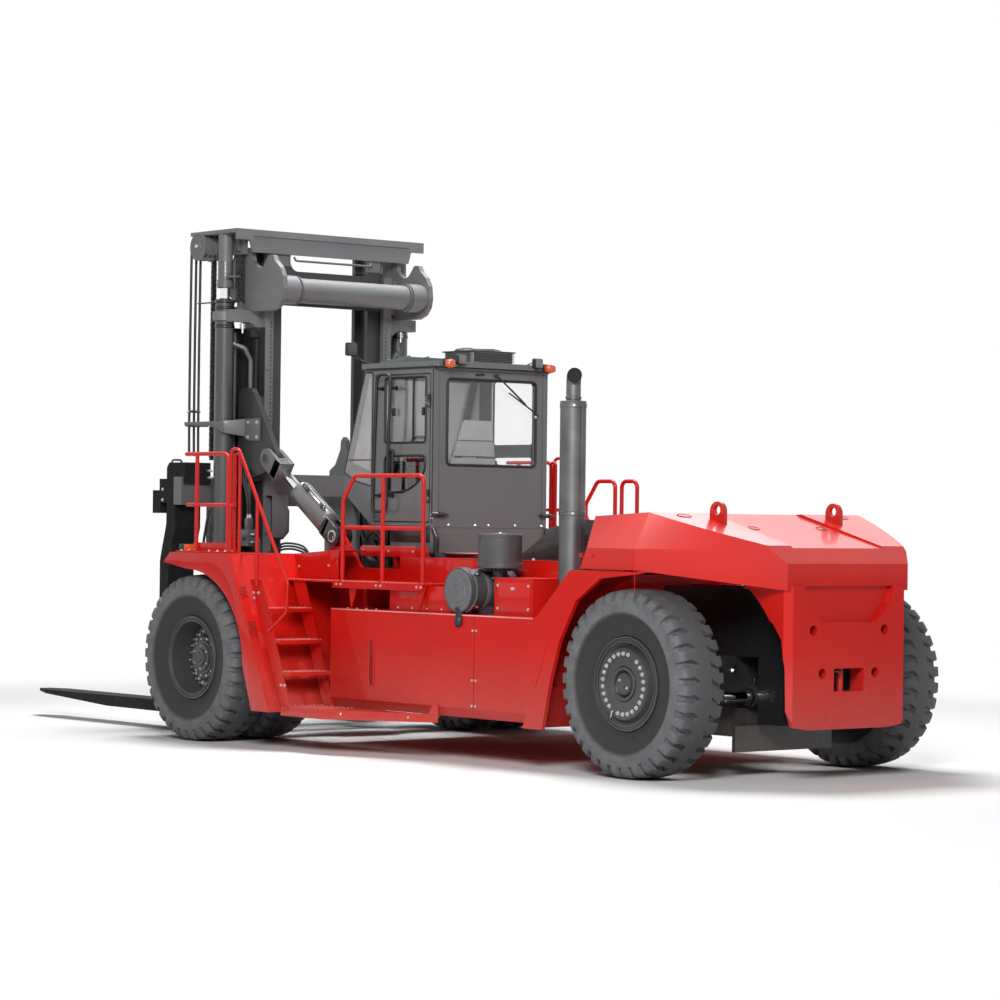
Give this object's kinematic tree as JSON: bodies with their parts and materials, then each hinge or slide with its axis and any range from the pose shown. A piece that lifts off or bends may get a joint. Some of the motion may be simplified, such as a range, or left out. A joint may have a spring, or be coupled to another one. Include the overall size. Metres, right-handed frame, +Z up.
{
  "type": "heavy diesel forklift truck",
  "caption": "Heavy diesel forklift with tilting two-stage mast, sliding forks, steered rear wheels, cab with hinged door and faceted counterweight.",
  "frame": {"origin": "on the ground under the middle of the overall box", "axes": "+X towards the fork tips, +Y to the left of the truck, +Z up"},
  "size_m": [11.165, 4.38, 5.2],
  "materials": {
    "red_paint": "gloss enamel",
    "mast_grey": "satin paint",
    "black_paint": "satin paint",
    "cab_grey": "satin paint",
    "fork_steel": "matt paint on forged steel",
    "chrome": "ground and polished",
    "exhaust_steel": "brushed",
    "tyre_rubber": "matt",
    "clear_glass": "clear",
    "seat_fabric": "woven",
    "black_plastic": "moulded",
    "lamp_amber": "clear moulded",
    "engine_iron": "painted casting"
  },
  "bodies": {
    "chassis": {"main_frame": "red_paint", "front_axle": "black_paint", "steer_axle": "black_paint", "counterweight": "red_paint", "engine": "engine_iron", "engine_deck": "red_paint", "exhaust_stack": "exhaust_steel", "air_cleaner": "black_plastic", "side_cabinet": "red_paint", "cab_floor": "cab_grey", "cab_rear_wall": "cab_grey", "cab_right_side": "cab_grey", "cab_left_frame": "cab_grey", "cab_front": "cab_grey", "cab_roof": "cab_grey", "cab_glass": "clear_glass", "roof_unit": "cab_grey", "cab_lamps": "lamp_amber", "driver_seat": "seat_fabric", "steering_column": "black_plastic", "front_rails": "red_paint", "cab_rails": "red_paint", "walkways": "red_paint", "steps": "red_paint", "wheel_arches": "red_paint", "fender_left": "red_paint", "tank_left": "red_paint", "fender_right": "red_paint", "tank_right": "red_paint"},
    "outer_mast": {"outer_mast": "mast_grey", "lift_cylinders": "black_paint"},
    "inner_mast": {"inner_mast": "mast_grey", "lift_rods": "chrome"},
    "carriage": {"carriage": "black_paint"},
    "engine_hood": {"engine_hood": "black_paint"},
    "cab_door": {"cab_door": "cab_grey", "door_glass": "clear_glass"},
    "steer_rod": {"steer_rod": "chrome"},
    "fork_left": {"fork_left": "fork_steel"},
    "tilt_barrel_left": {"tilt_barrel_left": "black_paint"},
    "tilt_rod_left": {"tilt_rod_left": "chrome"},
    "knuckle_left": {"knuckle_left": "black_paint"},
    "front_wheels_left": {"front_rims_left": "black_paint", "front_tyres_left": "tyre_rubber"},
    "rear_wheel_left": {"rear_rim_left": "black_paint", "rear_tyre_left": "tyre_rubber"},
    "fork_right": {"fork_right": "fork_steel"},
    "tilt_barrel_right": {"tilt_barrel_right": "black_paint"},
    "tilt_rod_right": {"tilt_rod_right": "chrome"},
    "knuckle_right": {"knuckle_right": "black_paint"},
    "front_wheels_right": {"front_rims_right": "black_paint", "front_tyres_right": "tyre_rubber"},
    "rear_wheel_right": {"rear_rim_right": "black_paint", "rear_tyre_right": "tyre_rubber"}
  },
  "joints": [
    {"name": "mast_tilt", "type": "hinge", "parent": "chassis", "child": "outer_mast", "pos_m": [1.9025, 0, 0.75], "axis": [0, 1, 0], "range_deg": [-10, 5]},
    {"name": "mast_lift", "type": "slide", "parent": "outer_mast", "child": "inner_mast", "axis": [0, 0, 1], "range_m": [-0.085, 1.95]},
    {"name": "carriage_lift", "type": "slide", "parent": "inner_mast", "child": "carriage", "axis": [0, 0, 1], "range_m": [-0.085, 1.95]},
    {"name": "fork_shift_left", "type": "slide", "parent": "carriage", "child": "fork_left", "axis": [0, 1, 0], "range_m": [-0.4, 0]},
    {"name": "tilt_barrel_swing_left", "type": "hinge", "parent": "chassis", "child": "tilt_barrel_left", "pos_m": [0.5075, 0.98, 2.05], "axis": [0, 1, 0], "range_deg": [-8, 5]},
    {"name": "tilt_rod_slide_left", "type": "slide", "parent": "tilt_barrel_left", "child": "tilt_rod_left", "axis": [0.8287, 0, 0.5597], "range_m": [-0.33, 0.17]},
    {"name": "front_wheel_spin_left", "type": "hinge", "parent": "chassis", "child": "front_wheels_left", "pos_m": [1.3825, 1.64, 0.8275], "axis": [0, 1, 0], "continuous": true},
    {"name": "steer_left", "type": "hinge", "parent": "chassis", "child": "knuckle_left", "pos_m": [-4.3975, 0.95, 0.8275], "axis": [0, 0, 1], "range_deg": [-45, 45]},
    {"name": "rear_wheel_spin_left", "type": "hinge", "parent": "knuckle_left", "child": "rear_wheel_left", "pos_m": [-4.3975, 1.345, 0.8275], "axis": [0, 1, 0], "continuous": true},
    {"name": "fork_shift_right", "type": "slide", "parent": "carriage", "child": "fork_right", "axis": [0, -1, 0], "range_m": [-0.4, 0]},
    {"name": "tilt_barrel_swing_right", "type": "hinge", "parent": "chassis", "child": "tilt_barrel_right", "pos_m": [0.5075, -0.98, 2.05], "axis": [0, 1, 0], "range_deg": [-8, 5]},
    {"name": "tilt_rod_slide_right", "type": "slide", "parent": "tilt_barrel_right", "child": "tilt_rod_right", "axis": [0.8287, 0, 0.5597], "range_m": [-0.33, 0.17]},
    {"name": "front_wheel_spin_right", "type": "hinge", "parent": "chassis", "child": "front_wheels_right", "pos_m": [1.3825, -1.64, 0.8275], "axis": [0, 1, 0], "continuous": true},
    {"name": "steer_right", "type": "hinge", "parent": "chassis", "child": "knuckle_right", "pos_m": [-4.3975, -0.95, 0.8275], "axis": [0, 0, 1], "range_deg": [-45, 45]},
    {"name": "rear_wheel_spin_right", "type": "hinge", "parent": "knuckle_right", "child": "rear_wheel_right", "pos_m": [-4.3975, -1.345, 0.8275], "axis": [0, 1, 0], "continuous": true},
    {"name": "steer_rod_slide", "type": "slide", "parent": "chassis", "child": "steer_rod", "axis": [0, 1, 0], "range_m": [-0.21, 0.21]},
    {"name": "door_hinge", "type": "hinge", "parent": "chassis", "child": "cab_door", "pos_m": [-0.5925, 0.734, 2.9], "axis": [0, 0, 1], "range_deg": [0, 55]},
    {"name": "hood_hinge", "type": "hinge", "parent": "chassis", "child": "engine_hood", "pos_m": [-3.6895, 0, 2.215], "axis": [0, -1, 0], "range_deg": [0, 50]}
  ],
  "couplings": [
    {"joint": "carriage_lift", "follows": "mast_lift", "ratio": 1},
    {"joint": "steer_right", "follows": "steer_left", "ratio": 1},
    {"joint": "steer_rod_slide", "follows": "steer_left", "m_per_rad": -0.26},
    {"joint": "tilt_barrel_swing_left", "follows": "mast_tilt", "ratio": 0.718},
    {"joint": "tilt_rod_slide_left", "follows": "mast_tilt", "m_per_rad": 1.87},
    {"joint": "tilt_barrel_swing_right", "follows": "mast_tilt", "ratio": 0.718},
    {"joint": "tilt_rod_slide_right", "follows": "mast_tilt", "m_per_rad": 1.87}
  ]
}
